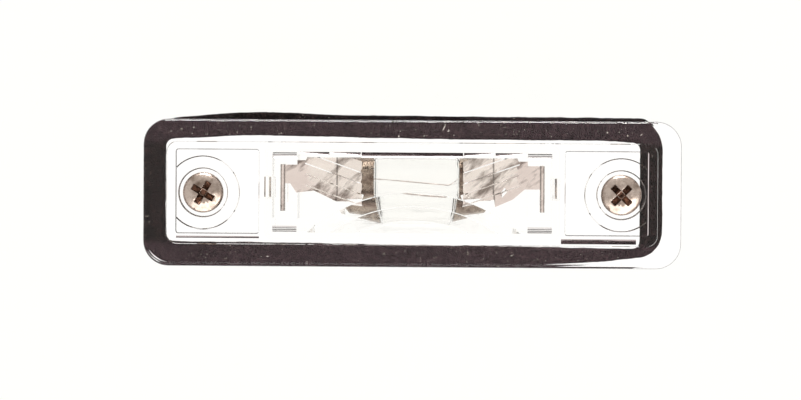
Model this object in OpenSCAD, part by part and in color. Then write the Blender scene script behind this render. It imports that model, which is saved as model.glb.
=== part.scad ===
// Number plate lamp: clear screw-on lens with a clipped-in bulb carrier and a festoon bulb.
// Millimetres. The lens looks along +Z, X runs along the lamp, Y is up on the car.
// The origin is the centre of the mounting plane, the rear face of the seal.

/* [Flange] */
// Length of the flange
flange_len = 106; // [102:0.5:112]
// Height of the flange
flange_h = 29; // [28:0.5:34]
// Thickness of the flange
flange_t = 3; // [2.4:0.1:4]
// Corner radius of the flange
flange_corner_r = 5; // [3:0.5:9]
// Rounding of the flange's front edge
edge_round = 0.8; // [0.3:0.1:1.2]
// Length of the raised field on the front
field_len = 96.8; // [94:0.2:100]
// Height of the raised field
field_h = 20.3; // [19.5:0.1:24]
// Step from the flange up to the raised field
field_step = 0.5; // [0.3:0.1:1]
// Corner radius of the raised field
field_corner_r = 2.2; // [1:0.1:4]
// How far the steps on the front lean, for each millimetre of their height
draft = 0.3; // [0.2:0.1:1.2]
// Leg of the rib behind the flange that locates the seal's lower strip, right of the box
rib_right = 1; // [0.5:0.1:1.2]
// Leg of the same rib left of the box
rib_left = 0.4; // [0.3:0.1:1]

/* [Screw bosses] */
// Distance from a screw to the flange's end
screw_inset = 11.8; // [11:0.1:13]
// Length of the rectangular pocket round a screw
pocket_len = 16.2; // [15:0.2:18]
// Height of the pocket
pocket_h = 16.4; // [15:0.2:18]
// How far the pocket's middle lies inboard of its screw
pocket_shift = 2.9; // [2:0.1:3.5]
// Radius of the round sink round a screw
sink_r = 7.3; // [6.5:0.1:7.8]
// Depth of the round sink below the flange's front
sink_depth = 0.7; // [0.3:0.1:0.9]
// Radius of the counterbore that takes the screw head
counterbore_r = 5; // [4.6:0.1:5.8]
// Plastic left under the screw head, above the flange's rear
head_floor = 1; // [0.8:0.1:1.5]
// Outer radius of the spacer tube behind the flange
spacer_r = 3.4; // [3.1:0.1:3.6]
// How far the spacer tube stops short of the mounting plane
spacer_short = 0.4; // [0.2:0.1:1]

/* [Screws] */
// Thread diameter of the screws
screw_d = 4.2; // [3.5:0.1:4.4]
// Diameter of the plain neck between head and thread
neck_d = 3.6; // [3:0.1:4]
// Clearance of the thread in its hole
screw_gap = 0.2; // [0.1:0.05:0.4]
// Length of a screw below its head
screw_len = 19; // [16:0.5:25]
// Diameter of the pan head
head_d = 8; // [7:0.1:9]
// Height of the pan head
head_h = 2.9; // [2.2:0.1:3.2]
// Size of the cross recess, tip to tip
recess_size = 5; // [3.5:0.1:5.2]
// Width of the recess's arms
recess_w = 1.25; // [0.8:0.05:1.3]

/* [Bay] */
// Room along the lamp between the bulb's end and a tower
tip_room = 4.05; // [3.5:0.05:4.6]
// Distance from the flange's top edge to the box
band_top = 5; // [4.7:0.1:5.5]
// Distance from the flange's bottom edge to the box
band_bottom = 5.3; // [5.1:0.1:5.8]
// How far the box's outer faces lean out towards the flange
box_lean = 0.2; // [0.1:0.05:0.3]
// Corner radius of the box
box_corner_r = 1.6; // [1:0.1:2]
// Wall thickness of the box
box_wall = 1.4; // [1.1:0.1:1.6]
// Depth of the box behind the flange's rear
box_depth = 14.2; // [13.8:0.1:17]
// Leg of the slanted strip in the upper inner corner
cove = 1; // [0.6:0.1:1.2]

/* [Optics] */
// Radius of the outer arched rib
arch_r = 32; // [30:0.5:34]
// How far below the middle the arches are centred
arch_drop = 31.9; // [31:0.1:33]
// Spacing of the arched ribs
arch_pitch = 2.8; // [2.2:0.1:3.4]
// Number of arched ribs
arch_count = 3; // [2:1:3]
// Face angle of the outer arched rib
arch_angle = 32; // [20:1:34]
// How much steeper the further arches are
arch_steeper = 6.5; // [0:0.5:7]
// Slope of the straight prism bars towards the middle
bar_slope = 19.5; // [10:0.5:25]
// Spacing of the prism bars, measured up the lamp
bar_pitch = 2.14; // [1.6:0.02:2.4]
// Face angle of the prism bars
bar_angle = 20; // [10:1:25]
// Number of prism bars on each side
bar_count = 4; // [3:1:4]
// How far the risers of ribs and bars lean
riser_lean = 0.22; // [0.1:0.02:0.3]

/* [Seal] */
// Free thickness of the foam seal
seal_t = 2.7; // [2:0.1:2.8]

/* [Carrier] */
// Thickness of the carrier's base plate
base_t = 1.6; // [1.2:0.1:2.5]
// Gap between the base plate and the box's rim
rim_gap = 0.15; // [0.05:0.05:0.3]
// Length of the towers at the carrier's ends
tower_len = 4.6; // [4:0.1:5]
// Gap between the carrier and the box's inner walls
carrier_gap = 0.2; // [0.1:0.05:0.4]
// Height of the snap hooks, measured up the lamp
hook_h = 4; // [3:0.5:8]
// How far a snap hook reaches into its window
hook_reach = 1.3; // [0.8:0.1:1.4]

/* [Contacts] */
// Thickness of the contact sheet
sheet_t = 0.8; // [0.5:0.1:1]
// Width of the terminal blade
blade_w = 6.3; // [4.8:0.1:6.3]
// Length of the terminal blade behind the carrier
blade_len = 8; // [6:0.5:10]

/* [Bulb] */
// Overall length of the festoon bulb
bulb_len = 36; // [34:0.5:36.5]
// Diameter of the glass
glass_d = 10; // [9:0.1:10.2]
// Diameter of the metal caps
cap_d = 8.5; // [8:0.1:8.6]
// Room above the glass, under the box's top wall
bulb_room = 0.4; // [0.3:0.1:0.6]
// How far the bulb sits off the lamp's middle, along the lamp
bulb_x = 0.75; // [0:0.05:1]

/* [Hidden] */
$fn = 64;
eps = 0.05;

// Heights along Z, from the mounting plane
seal_clear = 0.3;
flange_rear = seal_t + seal_clear;
flange_front = flange_rear + flange_t;
box_rear = flange_rear - box_depth;
base_front = box_rear - rim_gap;
head_seat = flange_rear + head_floor;
half_pitch = flange_len / 2 - screw_inset;
bore_lean = 0.3;

// The box is as long as the bulb with the room, tower, gap and wall at both its ends
box_len = bulb_len + 2 * (bulb_x + tip_room + tower_len + carrier_gap + box_wall);
box_top = flange_h / 2 - band_top;
box_bottom = flange_h / 2 - band_bottom;
box_h = box_top + box_bottom;
box_y = (box_top - box_bottom) / 2;
bay_x = box_len / 2 - box_wall;
bay_top = box_top - box_wall;
bay_bottom = box_bottom - box_wall;
bay_corner_r = 0.4;

// Bulb, along its own axis
cap_wall = 0.4;
cap_start = 0.236 * bulb_len;
cone_len = 3;
tip_len = 0.35;
tip_r = 1.4;
cone_start = bulb_len / 2 - tip_len - cone_len;
glass_end = cap_start + 2.5;
cement_start = cap_start + 0.6;
glass_wall = 0.6;
neck_r = cap_d / 2 - cap_wall - 0.4;
fit_gap = 0.05;
wire_r = 0.2;
wire_end = cap_start - 0.5;
filament_drop = 1.2;
base_clear = 0.7;
bulb_z = box_rear + base_clear + glass_d / 2;
bulb_y = bay_top - bulb_room - glass_d / 2;
bulb_tip = bulb_len / 2;

// Contacts
sheet_over_cap = 0.35;
sheet_rear = bulb_z + cap_d / 2 + sheet_over_cap;
sheet_front = sheet_rear + sheet_t;
strip_x = bay_x - carrier_gap - tower_len / 2 + 0.6;
tongue_w = 7;
tongue_seat = 1.5;
tongue_reach = 4.2;
cone_gap = 0.15;
wing_inner = cap_start + 1.7;
wing_top = bulb_y + 3.7;
arm_top = wing_top - 0.9;
strip_low = -bay_bottom + 4.2;
strip_w = arm_top - strip_low;
strip_y = arm_top - strip_w / 2;
slot_gap = 0.1;
tower_top = sheet_rear - 0.1;
tower_x = bay_x - carrier_gap - tower_len;
tower_low = strip_low - 1.7;
tower_high = bay_top - carrier_gap;
hook_z = box_rear + 4.2;
hook_rise = 2.6;
cove_mid = 10;

// The flange with its front edge rounded over in three steps
module flange() {
    hull()
        for (a = [0, 30, 60, 90])
            for (x = [-1, 1], y = [-1, 1]) {
                inset = edge_round * (1 - cos(a));
                r = flange_corner_r - inset;
                translate([
                    x * (flange_len / 2 - flange_corner_r),
                    y * (flange_h / 2 - flange_corner_r),
                    flange_rear
                ])
                    cylinder(r = r, h = flange_t - edge_round * (1 - sin(a)), $fn = 48);
            }
}

// A block with round corners whose sides lean in by lean over its height h, or out if lean is negative
module leaning_block(len, high, r, h, lean) {
    for (x = [-1, 1], y = [-1, 1])
        translate([x * (len / 2 - r), y * (high / 2 - r), 0])
            cylinder(r1 = r, r2 = r - lean, h = h);
    rotate([90, 0, 0])
        linear_extrude(high - 2 * r, center = true)
            polygon([[-len / 2, 0], [len / 2, 0], [len / 2 - lean, h], [-len / 2 + lean, h]]);
    rotate([90, 0, 90])
        linear_extrude(len - 2 * r, center = true)
            polygon([[-high / 2, 0], [high / 2, 0], [high / 2 - lean, h], [-high / 2 + lean, h]]);
}

// The raised field, left out round the screws
module raised_field() {
    difference() {
        translate([0, 0, flange_front - eps])
            leaning_block(field_len, field_h, field_corner_r, field_step + eps, draft * field_step);
        for (side = [-1, 1])
            translate([side * (half_pitch - pocket_shift), 0.3, flange_front])
                leaning_block(pocket_len, pocket_h, 0.4, 2 * field_step, -2 * draft * field_step);
    }
}

// A three-sided rib on the flange's rear from x0 to x1, its upright side at y
module seal_rib(x0, x1, y, leg) {
    translate([x0, y, flange_rear + eps])
        rotate([90, 0, 90])
            linear_extrude(x1 - x0)
                polygon([[0, 0], [leg + eps, 0], [0, -leg - eps]]);
}

// What is cut away round one screw
module screw_cuts(side) {
    translate([side * half_pitch, 0, 0]) {
        intersection() {
            translate([0, 0, flange_front - sink_depth])
                cylinder(
                    r1 = sink_r - draft * sink_depth, r2 = sink_r + draft * sink_depth,
                    h = 2 * sink_depth
                );
            translate([-side * (pocket_shift + sink_r), 0, flange_front])
                cube([pocket_len + 2 * sink_r, 3 * sink_r, 6 * sink_depth], center = true);
        }
        translate([0, 0, head_seat])
            cylinder(
                r1 = counterbore_r - bore_lean, r2 = counterbore_r + bore_lean,
                h = flange_t + field_step
            );
        translate([0, 0, -1])
            cylinder(d = screw_d + 2 * screw_gap, h = flange_rear + flange_t + 2);
    }
}

// The box behind the flange, open at the rear, with a hook window in each end wall
module box_walls() {
    difference() {
        translate([0, box_y, box_rear])
            leaning_block(box_len, box_h, box_corner_r, box_depth + eps, -box_lean);
        translate([0, box_y, box_rear - 1])
            leaning_block(2 * bay_x, bay_top + bay_bottom, bay_corner_r, box_depth + 1, 0);
        for (side = [-1, 1])
            translate([side * (box_len / 2), strip_y, hook_z])
                cube([4 * box_wall, hook_h + 0.4, 2 * hook_rise], center = true);
    }
}

// One stretch of the slanted strip in the bay's upper corner, from one leg to another
module cove_run(x0, x1, leg0, leg1) {
    hull() {
        for (end = [[x0, leg0], [x1, leg1]])
            translate([end[0], bay_top + eps, flange_rear + eps])
                rotate([90, 0, 90])
                    linear_extrude(0.01)
                        polygon([[0, 0], [-end[1] - eps, 0], [0, -end[1] - eps]]);
    }
}

// A level stretch of the slanted strip, in the upper corner or, with up -1, in the lower one.
// It climbs in teeth, each sloping at 45 degrees over its share of the way and level over the rest.
module level_cove(x0, x1, leg, teeth, share, up) {
    wall = up > 0 ? bay_top : -bay_bottom;
    run = leg / teeth;
    climb = share * run;
    translate([x0, wall + up * eps, flange_rear + eps])
        rotate([90, 0, 90])
            linear_extrude(x1 - x0)
                polygon([
                    [0, 0],
                    for (k = [0 : teeth - 1], part = [0, climb])
                        [-up * (leg + eps - k * run - part), -k * climb - part],
                    [0, -teeth * climb]
                ]);
}

// The slanted strips: a level one in the middle, two stepped ones on each side, toothed ones over the towers
module coves() {
    level_cove(-cove_mid, cove_mid, cove, 1, 1, 1);
    for (side = [-1, 1]) {
        cove_run(side * (cove_mid + 0.2), side * (cove_mid + 6.1), 0.8 * cove, 0.3 * cove);
        cove_run(side * (cove_mid + 6.4), side * (cove_mid + 12.4), 0.8 * cove, 0.3 * cove);
    }
    for (x = [-bay_x - eps, tower_x], up = [-1, 1])
        level_cove(x, x + bay_x - tower_x + eps, 1.3 * cove, 4, 0.55, up);
}

// Saw-tooth ribs on the window's rear, arched over a point far below the lamp
module arched_ribs() {
    intersection() {
        translate([0.3, -arch_drop, 0])
            for (k = [0 : arch_count - 1]) {
                r = arch_r - k * arch_pitch;
                deep = arch_pitch * tan(arch_angle + min(k, 1) * arch_steeper);
                rotate_extrude($fn = 128)
                    polygon([
                        [r - arch_pitch, flange_rear + eps],
                        [r + riser_lean, flange_rear + eps],
                        [r + riser_lean, flange_rear],
                        [r, flange_rear - deep],
                        [r - arch_pitch, flange_rear]
                    ]);
            }
        translate([-22, -bay_bottom - eps, flange_rear - 4])
            cube([44, bay_bottom + 4, 4 + eps]);
    }
}

// Straight prism bars that run down to the middle from both sides, above the arches
module prism_bars() {
    deep = bar_pitch * cos(bar_slope) * tan(bar_angle);
    rib_w = bar_pitch * cos(bar_slope);
    difference() {
        for (side = [0, 1], k = [0 : bar_count - 1])
            mirror([side, 0, 0])
                translate([-10.4, bay_top - 3.8 - k * bar_pitch, flange_rear])
                    rotate([0, 0, -bar_slope])
                        translate([-11.4, 0, 0])
                            rotate([90, 0, 90])
                                linear_extrude(11.4 + 0.2)
                                    polygon([
                                        [-riser_lean, eps], [rib_w, eps],
                                        [rib_w, 0], [0, -deep], [-riser_lean, 0]
                                    ]);
        translate([0.3, -arch_drop, flange_rear - 3])
            cylinder(r = arch_r, h = 3, $fn = 128);
        translate([-bay_x, bay_top - cove, flange_rear - 3])
            cube([2 * bay_x, 3, 3]);
    }
}

module lens() {
    color([0.95, 0.93, 0.93, 0.45])
        difference() {
            union() {
                flange();
                raised_field();
                box_walls();
                coves();
                arched_ribs();
                prism_bars();
                seal_rib(box_len / 2 + 0.4, half_pitch + 3, 4.75 - flange_h / 2, rib_right);
                seal_rib(-half_pitch - 5.4, -box_len / 2 - 1.2, 5.5 - flange_h / 2, rib_left);
                for (side = [-1, 1])
                    translate([side * half_pitch, 0, spacer_short])
                        cylinder(r = spacer_r, h = flange_rear - spacer_short + eps);
            }
            for (side = [-1, 1])
                screw_cuts(side);
        }
}

// The seal's outline was taken off a flange of this length and height, and is stretched to any other
seal_stretch = [flange_len / 106, flange_h / 29];
// Inner edge of the seal as it lies, squeezed up and to the left
seal_inner = [
    [-48.7, -9.7], [-48.7, 10.4], [-34, 11.2], [-24, 11.2], [-10, 10.9], [10, 10.7],
    [37, 10.6], [44.9, 10.2], [44.9, -10.6], [20, -10.3], [0, -10.1], [-30, -9.8]
];
// Outer edge of the seal, its top strip bulging past the flange
seal_outer = [
    [-53.2, -8.4], [-52.7, -10.6], [-51.4, -12.4], [-49.5, -13.7], [-47.2, -14.2], [-20, -14.2],
    [10, -14.2], [29.6, -13.8], [40.4, -13], [45.6, -12.4], [47.4, -11.5], [48.8, -9.8],
    [49.4, -7.9], [49.4, 9.7], [48.9, 11.6], [48, 13], [46.8, 14.3], [45.8, 15.2],
    [10, 15.3], [-14, 15.4], [-25, 15.9], [-31, 15.9], [-36, 15.7], [-41, 15.3],
    [-46.6, 14.8], [-49.4, 14.2], [-51.6, 12.8], [-52.9, 10.8], [-53.3, 8.6]
];

module gasket() {
    color([0.12, 0.11, 0.11])
        linear_extrude(seal_t)
            difference() {
                offset(r = 1.5, $fn = 32)
                    offset(delta = -1.5)
                        scale(seal_stretch)
                            polygon(seal_outer);
                offset(r = 1.2, $fn = 32)
                    offset(delta = -1.2)
                        scale(seal_stretch)
                            polygon(seal_inner);
            }
}

// One end tower with its slot for the contact strip and its snap hook
module tower(side) {
    mirror([side < 0 ? 1 : 0, 0, 0]) {
        difference() {
            translate([tower_x, tower_low, base_front - eps])
                cube([tower_len, tower_high - tower_low, tower_top - base_front + eps]);
            translate([strip_x - sheet_t / 2 - slot_gap, strip_y - strip_w / 2 - slot_gap, box_rear - 1])
                cube([sheet_t + 2 * slot_gap, strip_w + 2 * slot_gap, tower_top - box_rear + 2]);
        }
        translate([bay_x - carrier_gap - eps, strip_y - hook_h / 2, hook_z])
            rotate([90, 0, 0])
                translate([0, 0, -hook_h])
                    linear_extrude(hook_h)
                        polygon([[0, -1.6], [hook_reach, -1.2], [0, 1.8]]);
    }
}

module bulb_carrier() {
    color([0.93, 0.9, 0.9, 0.6])
        difference() {
            union() {
                translate([0, box_y, base_front - base_t])
                    leaning_block(box_len, box_h, box_corner_r, base_t, 0);
                for (side = [-1, 1])
                    tower(side);
            }
            for (side = [-1, 1])
                translate([
                    side * strip_x - sheet_t / 2 - slot_gap,
                    strip_y - blade_w / 2 - slot_gap,
                    base_front - base_t - 1
                ])
                    cube([sheet_t + 2 * slot_gap, blade_w + 2 * slot_gap, base_t + 2]);
        }
}

// One stamped contact, drawn for the left end: blade, strip, wing and the tongue that holds a cap.
// The bulb lies off the middle, so the tongue's distance from it differs at the two ends, and so does the
// wing's lower edge, given from the inner end outwards, its heights measured from the bulb's axis. Each wing
// is creased at fold.
module contact(bulb_shift, lower, fold) {
    cone_slope = (cap_d / 2 - tip_r) / cone_len;
    tongue_x = -bulb_shift - cone_start - tongue_seat;
    tongue_rear = bulb_z - tongue_reach;
    strip_outer = -strip_x - sheet_t / 2;
    blade_rear = base_front - base_t - blade_len;
    difference() {
        union() {
            translate([strip_outer, strip_y - blade_w / 2, blade_rear])
                cube([sheet_t, blade_w, base_front - blade_rear]);
            translate([strip_outer, strip_y - strip_w / 2, base_front])
                cube([sheet_t, strip_w, sheet_front - base_front]);
            translate([0, 0, sheet_rear])
                linear_extrude(sheet_t)
                    polygon(concat(
                        [[strip_outer, arm_top], [-tower_x, arm_top]],
                        [[-tower_x, wing_top], [-wing_inner, wing_top]],
                        [for (p = lower) [p[0], bulb_y + p[1]]],
                        [[strip_outer, bulb_y + lower[len(lower) - 1][1]]]
                    ));
            translate([tongue_x - sheet_t, bulb_y - tongue_w / 2, tongue_rear])
                cube([sheet_t, tongue_w, sheet_front - tongue_rear]);
        }
        translate([tongue_x - sheet_t - 1, bulb_y, bulb_z])
            rotate([0, 90, 0])
                cylinder(r = cap_d / 2 - tongue_seat * cone_slope + cone_gap, h = sheet_t + 2);
        translate([fold, bulb_y, sheet_front])
            cube([0.3, 4 * tongue_w, 0.3], center = true);
    }
}

module contact_left() {
    color([0.76, 0.73, 0.7])
        contact(
            -bulb_x,
            [[-wing_inner, -4.4], [-bulb_tip + 2.9, -4.4], [-bulb_tip - 1.5, -2.3],
             [-tower_x - 0.2, -2.7], [-tower_x - 1.4, -0.9]],
            -bulb_tip + 2.9
        );
}

// The right wing ends in a pointed flap with a small slot
module contact_right() {
    color([0.76, 0.73, 0.7])
        difference() {
            mirror([1, 0, 0])
                contact(
                    bulb_x,
                    [[-wing_inner, -4.4], [-bulb_tip + 1.8, -3.9], [-bulb_tip + 1.6, -5.3],
                     [-bulb_tip - 1.9, -3.8], [-tower_x + 0.6, -1.8]],
                    -bulb_tip + 1.8
                );
            translate([bulb_tip + 0.1, bulb_y - 2.7, sheet_rear])
                rotate([0, 0, 50])
                    cube([1.5, 0.5, 4 * sheet_t], center = true);
        }
}

// Sets something drawn along Z on the bulb's axis
module on_bulb_axis() {
    translate([bulb_x, bulb_y, bulb_z])
        rotate([0, 90, 0])
            children();
}

module bulb_glass() {
    shoulder = 2.2;
    body_r = glass_d / 2;
    flat_end = cap_start - shoulder;
    function side_points(r_body, r_neck, end) = [
        for (a = [0 : 15 : 90])
            [r_neck + (r_body - r_neck) * cos(a), flat_end + shoulder * sin(a)]
    ];
    outer = side_points(body_r, neck_r - fit_gap, glass_end);
    inner = side_points(body_r - glass_wall, neck_r - fit_gap - glass_wall, glass_end);
    color([0.95, 0.95, 0.95, 0.35])
        on_bulb_axis()
            rotate_extrude()
                polygon(concat(
                    [for (p = outer) [p[0], -p[1]]],
                    [[neck_r - fit_gap, -glass_end], [wire_r + fit_gap, -glass_end],
                     [wire_r + fit_gap, -glass_end + 1], [neck_r - fit_gap - glass_wall, -glass_end + 1.6]],
                    [for (i = [len(inner) - 1 : -1 : 0]) [inner[i][0], -inner[i][1]]],
                    inner,
                    [[neck_r - fit_gap - glass_wall, glass_end - 1.6], [wire_r + fit_gap, glass_end - 1],
                     [wire_r + fit_gap, glass_end], [neck_r - fit_gap, glass_end]],
                    [for (i = [len(outer) - 1 : -1 : 0]) outer[i]]
                ));
}

// One metal cap, drawn towards +Z: a thin drawn cup with a cone at its end
module bulb_cap() {
    rotate_extrude()
        polygon([
            [cap_d / 2, cap_start], [cap_d / 2, cone_start], [tip_r, cone_start + cone_len],
            [0.6, cone_start + cone_len], [0.6, cone_start + cone_len - cap_wall],
            [tip_r - cap_wall, cone_start + cone_len - cap_wall],
            [cap_d / 2 - cap_wall, cone_start], [cap_d / 2 - cap_wall, cap_start]
        ]);
}

module bulb_cap_left() {
    color([0.62, 0.56, 0.5])
        on_bulb_axis()
            mirror([0, 0, 1])
                bulb_cap();
}

module bulb_cap_right() {
    color([0.62, 0.56, 0.5])
        on_bulb_axis()
            bulb_cap();
}

// The ring of cement that holds a cap to the glass neck
module cap_cement() {
    translate([0, 0, cement_start])
        difference() {
            cylinder(r = cap_d / 2 - cap_wall - fit_gap / 2, h = glass_end - cement_start);
            translate([0, 0, -1])
                cylinder(r = neck_r - fit_gap / 2, h = glass_end);
        }
}

module cap_cement_left() {
    color([0.85, 0.82, 0.76])
        on_bulb_axis()
            mirror([0, 0, 1])
                cap_cement();
}

module cap_cement_right() {
    color([0.85, 0.82, 0.76])
        on_bulb_axis()
            cap_cement();
}

// The bead of solder on the point of a cap
module solder_tip() {
    translate([0, 0, cone_start + cone_len])
        rotate_extrude()
            polygon([for (a = [0 : 15 : 90]) [1.1 * cos(a), tip_len * sin(a)], [0, 0]]);
}

module solder_tip_left() {
    color([0.72, 0.72, 0.72])
        on_bulb_axis()
            mirror([0, 0, 1])
                solder_tip();
}

module solder_tip_right() {
    color([0.72, 0.72, 0.72])
        on_bulb_axis()
            solder_tip();
}

// The wire from a cap's point to the filament
module lead_wire() {
    translate([0, 0, wire_end])
        cylinder(r = wire_r, h = cone_start + cone_len - wire_end, $fn = 24);
}

module lead_wire_left() {
    color([0.6, 0.58, 0.56])
        on_bulb_axis()
            mirror([0, 0, 1])
                lead_wire();
}

module lead_wire_right() {
    color([0.6, 0.58, 0.56])
        on_bulb_axis()
            lead_wire();
}

// The filament, hung between the wire ends with a slight sag
module filament() {
    half = wire_end - 0.02;
    sag_r = (half * half + filament_drop * filament_drop) / (2 * filament_drop);
    reach = asin(half / sag_r);
    color([0.5, 0.45, 0.42])
        translate([bulb_x, bulb_y + sag_r - filament_drop, bulb_z])
            rotate([0, 0, -90 - reach])
                rotate_extrude(angle = 2 * reach, $fn = 128)
                    translate([sag_r, 0])
                        circle(0.12, $fn = 16);
}

// A pan head screw with a cross recess, head up
module screw() {
    head_round = 1.1;
    point_len = 3.5;
    difference() {
        union() {
            translate([0, 0, head_seat])
                rotate_extrude()
                    polygon(concat(
                        [[0, 0], [head_d / 2, 0], [head_d / 2, head_h - 1.7]],
                        [for (a = [15 : 15 : 75])
                            [head_d / 2 - head_round * (1 - cos(a)), head_h - 1.7 + head_round * sin(a)]],
                        [[head_d / 4, head_h - 0.2], [0, head_h]]
                    ));
            cylinder(d = neck_d, h = head_seat + eps);
            translate([0, 0, head_seat - screw_len + point_len])
                cylinder(d = screw_d, h = screw_len - point_len - head_seat);
            translate([0, 0, head_seat - screw_len])
                cylinder(d1 = 0.4, d2 = screw_d, h = point_len);
        }
        for (turn = [0, 90])
            rotate([0, 0, turn])
                translate([0, 0, head_seat + head_h])
                    rotate([90, 0, 0])
                        linear_extrude(recess_w, center = true)
                            polygon([
                                [-recess_size / 2, 1], [recess_size / 2, 1], [recess_size / 2 - 0.15, -1.1],
                                [0.5, -2.4], [-0.5, -2.4], [-recess_size / 2 + 0.15, -1.1]
                            ]);
    }
}

module screw_left() {
    color([0.72, 0.69, 0.66])
        translate([-half_pitch, 0, 0])
            rotate([0, 0, 60])
                screw();
}

module screw_right() {
    color([0.72, 0.69, 0.66])
        translate([half_pitch, 0, 0])
            rotate([0, 0, 45])
                screw();
}

lens();
gasket();
bulb_carrier();
contact_left();
contact_right();
bulb_glass();
bulb_cap_left();
bulb_cap_right();
cap_cement_left();
cap_cement_right();
solder_tip_left();
solder_tip_right();
lead_wire_left();
lead_wire_right();
filament();
screw_left();
screw_right();
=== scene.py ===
"""Dresses the number plate lamp: finishes for its moulded, stamped and blown pieces, and the seal, threads,
filament and dust that are modelled here. Metres throughout, +Z out of the lens."""

import logging
import math
import random
from dataclasses import dataclass, replace
from enum import Enum

import bpy
from mathutils import Matrix, Vector


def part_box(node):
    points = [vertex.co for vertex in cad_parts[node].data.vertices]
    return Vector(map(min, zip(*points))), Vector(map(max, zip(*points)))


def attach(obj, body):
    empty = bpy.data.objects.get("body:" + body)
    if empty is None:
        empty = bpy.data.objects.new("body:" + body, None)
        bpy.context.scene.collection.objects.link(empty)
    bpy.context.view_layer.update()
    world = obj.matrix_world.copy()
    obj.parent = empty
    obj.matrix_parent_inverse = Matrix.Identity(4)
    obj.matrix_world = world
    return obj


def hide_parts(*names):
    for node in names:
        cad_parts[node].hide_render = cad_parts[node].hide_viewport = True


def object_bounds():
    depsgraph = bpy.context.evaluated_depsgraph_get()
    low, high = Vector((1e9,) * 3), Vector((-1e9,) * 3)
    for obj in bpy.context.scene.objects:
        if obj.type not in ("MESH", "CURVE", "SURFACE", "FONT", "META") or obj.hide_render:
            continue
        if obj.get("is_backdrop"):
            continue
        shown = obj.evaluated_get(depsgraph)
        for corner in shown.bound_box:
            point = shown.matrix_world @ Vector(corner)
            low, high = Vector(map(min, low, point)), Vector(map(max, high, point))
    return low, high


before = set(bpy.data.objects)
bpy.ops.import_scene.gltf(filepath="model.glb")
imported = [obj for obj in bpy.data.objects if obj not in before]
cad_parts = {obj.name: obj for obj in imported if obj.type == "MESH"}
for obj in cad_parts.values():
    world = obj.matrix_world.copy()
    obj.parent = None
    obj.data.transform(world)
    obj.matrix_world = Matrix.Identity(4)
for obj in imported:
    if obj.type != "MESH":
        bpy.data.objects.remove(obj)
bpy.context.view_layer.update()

logging.basicConfig(level=logging.INFO, format="%(message)s")
log = logging.getLogger("lamp")

MM = 0.001
ROOT = "root"
PHOTO_W, PHOTO_H = 801, 400
PX_PER_MM = 5.083
# Seen head on, clear faces mirror this share of the usual: the photograph shows few reflections on them
SHEEN = (0.3, 0.3, 0.3, 1.0)


class Side(Enum):
    """The two ends of the lamp, by the word that ends the names of their pieces."""

    LEFT = "left"
    RIGHT = "right"

    def node(self, stem: str) -> str:
        """Returns the name of a piece at this end, such as screw_left."""
        return f"{stem}_{self.value}"


def linear(hex_colour: str) -> tuple[float, float, float, float]:
    """Turns an sRGB hex colour into the linear numbers that shaders take.

    Args:
        hex_colour: Six hex digits, with no hash mark.

    Returns:
        Linear red, green, blue and an alpha of 1.
    """
    parts = [int(hex_colour[i:i + 2], 16) / 255 for i in (0, 2, 4)]
    rgb = [c / 12.92 if c <= 0.04045 else ((c + 0.055) / 1.055) ** 2.4 for c in parts]
    return (rgb[0], rgb[1], rgb[2], 1.0)


def put(
    tree: bpy.types.NodeTree, kind: str, settings: dict | None = None, **links: object
) -> bpy.types.Node:
    """Adds a shader node with its settings, socket values and links.

    Args:
        tree: The node tree that the node goes into.
        kind: Blender's type name of the node.
        settings: Properties of the node, by name. Under "stops" a colour ramp takes pairs of a place from
            0 to 1 and a linear colour or one grey number.
        **links: Input sockets by name, spaces as underscores, or in0, in1 by number. A socket is linked,
            and anything else becomes the input's value.

    Returns:
        The new node.
    """
    node = tree.nodes.new(kind)
    plain = dict(settings or {})
    stops = plain.pop("stops", [])
    for name, value in plain.items():
        setattr(node, name, value)
    for name, value in links.items():
        number = name[2:]
        counted = name[:2] == "in" and number.isdigit()
        socket = node.inputs[int(number) if counted else name.replace("_", " ")]
        if isinstance(value, bpy.types.NodeSocket):
            tree.links.new(value, socket)
        else:
            socket.default_value = value
    if stops:
        spots = node.color_ramp.elements
        while len(spots) < len(stops):
            spots.new(0.5)
        for spot, (place, colour) in zip(spots, stops):
            spot.position = place
            spot.color = colour if isinstance(colour, tuple) else (colour, colour, colour, 1)
    return node


def object_mm(tree: bpy.types.NodeTree) -> bpy.types.NodeSocket:
    """Returns Object coordinates in millimetres, for patterns with real sizes."""
    where = put(tree, "ShaderNodeTexCoord").outputs["Object"]
    return put(tree, "ShaderNodeVectorMath", {"operation": "SCALE"}, in0=where, Scale=1 / MM).outputs[0]


def new_material(name: str) -> tuple[bpy.types.Material, bpy.types.NodeTree, bpy.types.Node]:
    """Makes an empty material.

    Args:
        name: The real material's name.

    Returns:
        The material, its node tree and its output node.
    """
    mat = bpy.data.materials.new(name)
    mat.use_nodes = True
    mat.node_tree.nodes.clear()
    return mat, mat.node_tree, put(mat.node_tree, "ShaderNodeOutputMaterial")


def finish_clear(tree: bpy.types.NodeTree, out: bpy.types.Node, body: bpy.types.Node, tint: str) -> None:
    """Ends a clear material, and lets the lamps' light pass straight through it to what lies behind.

    Args:
        tree: The node tree.
        out: The material's output.
        body: The clear shader.
        tint: What the passing light is tinted with.
    """
    passing = put(tree, "ShaderNodeBsdfTransparent", Color=linear(tint))
    rays = put(tree, "ShaderNodeLightPath")
    mixed = put(
        tree, "ShaderNodeMixShader", Fac=rays.outputs["Is Shadow Ray"],
        in1=body.outputs[0], in2=passing.outputs[0],
    )
    tree.links.new(mixed.outputs[0], out.inputs["Surface"])


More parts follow.
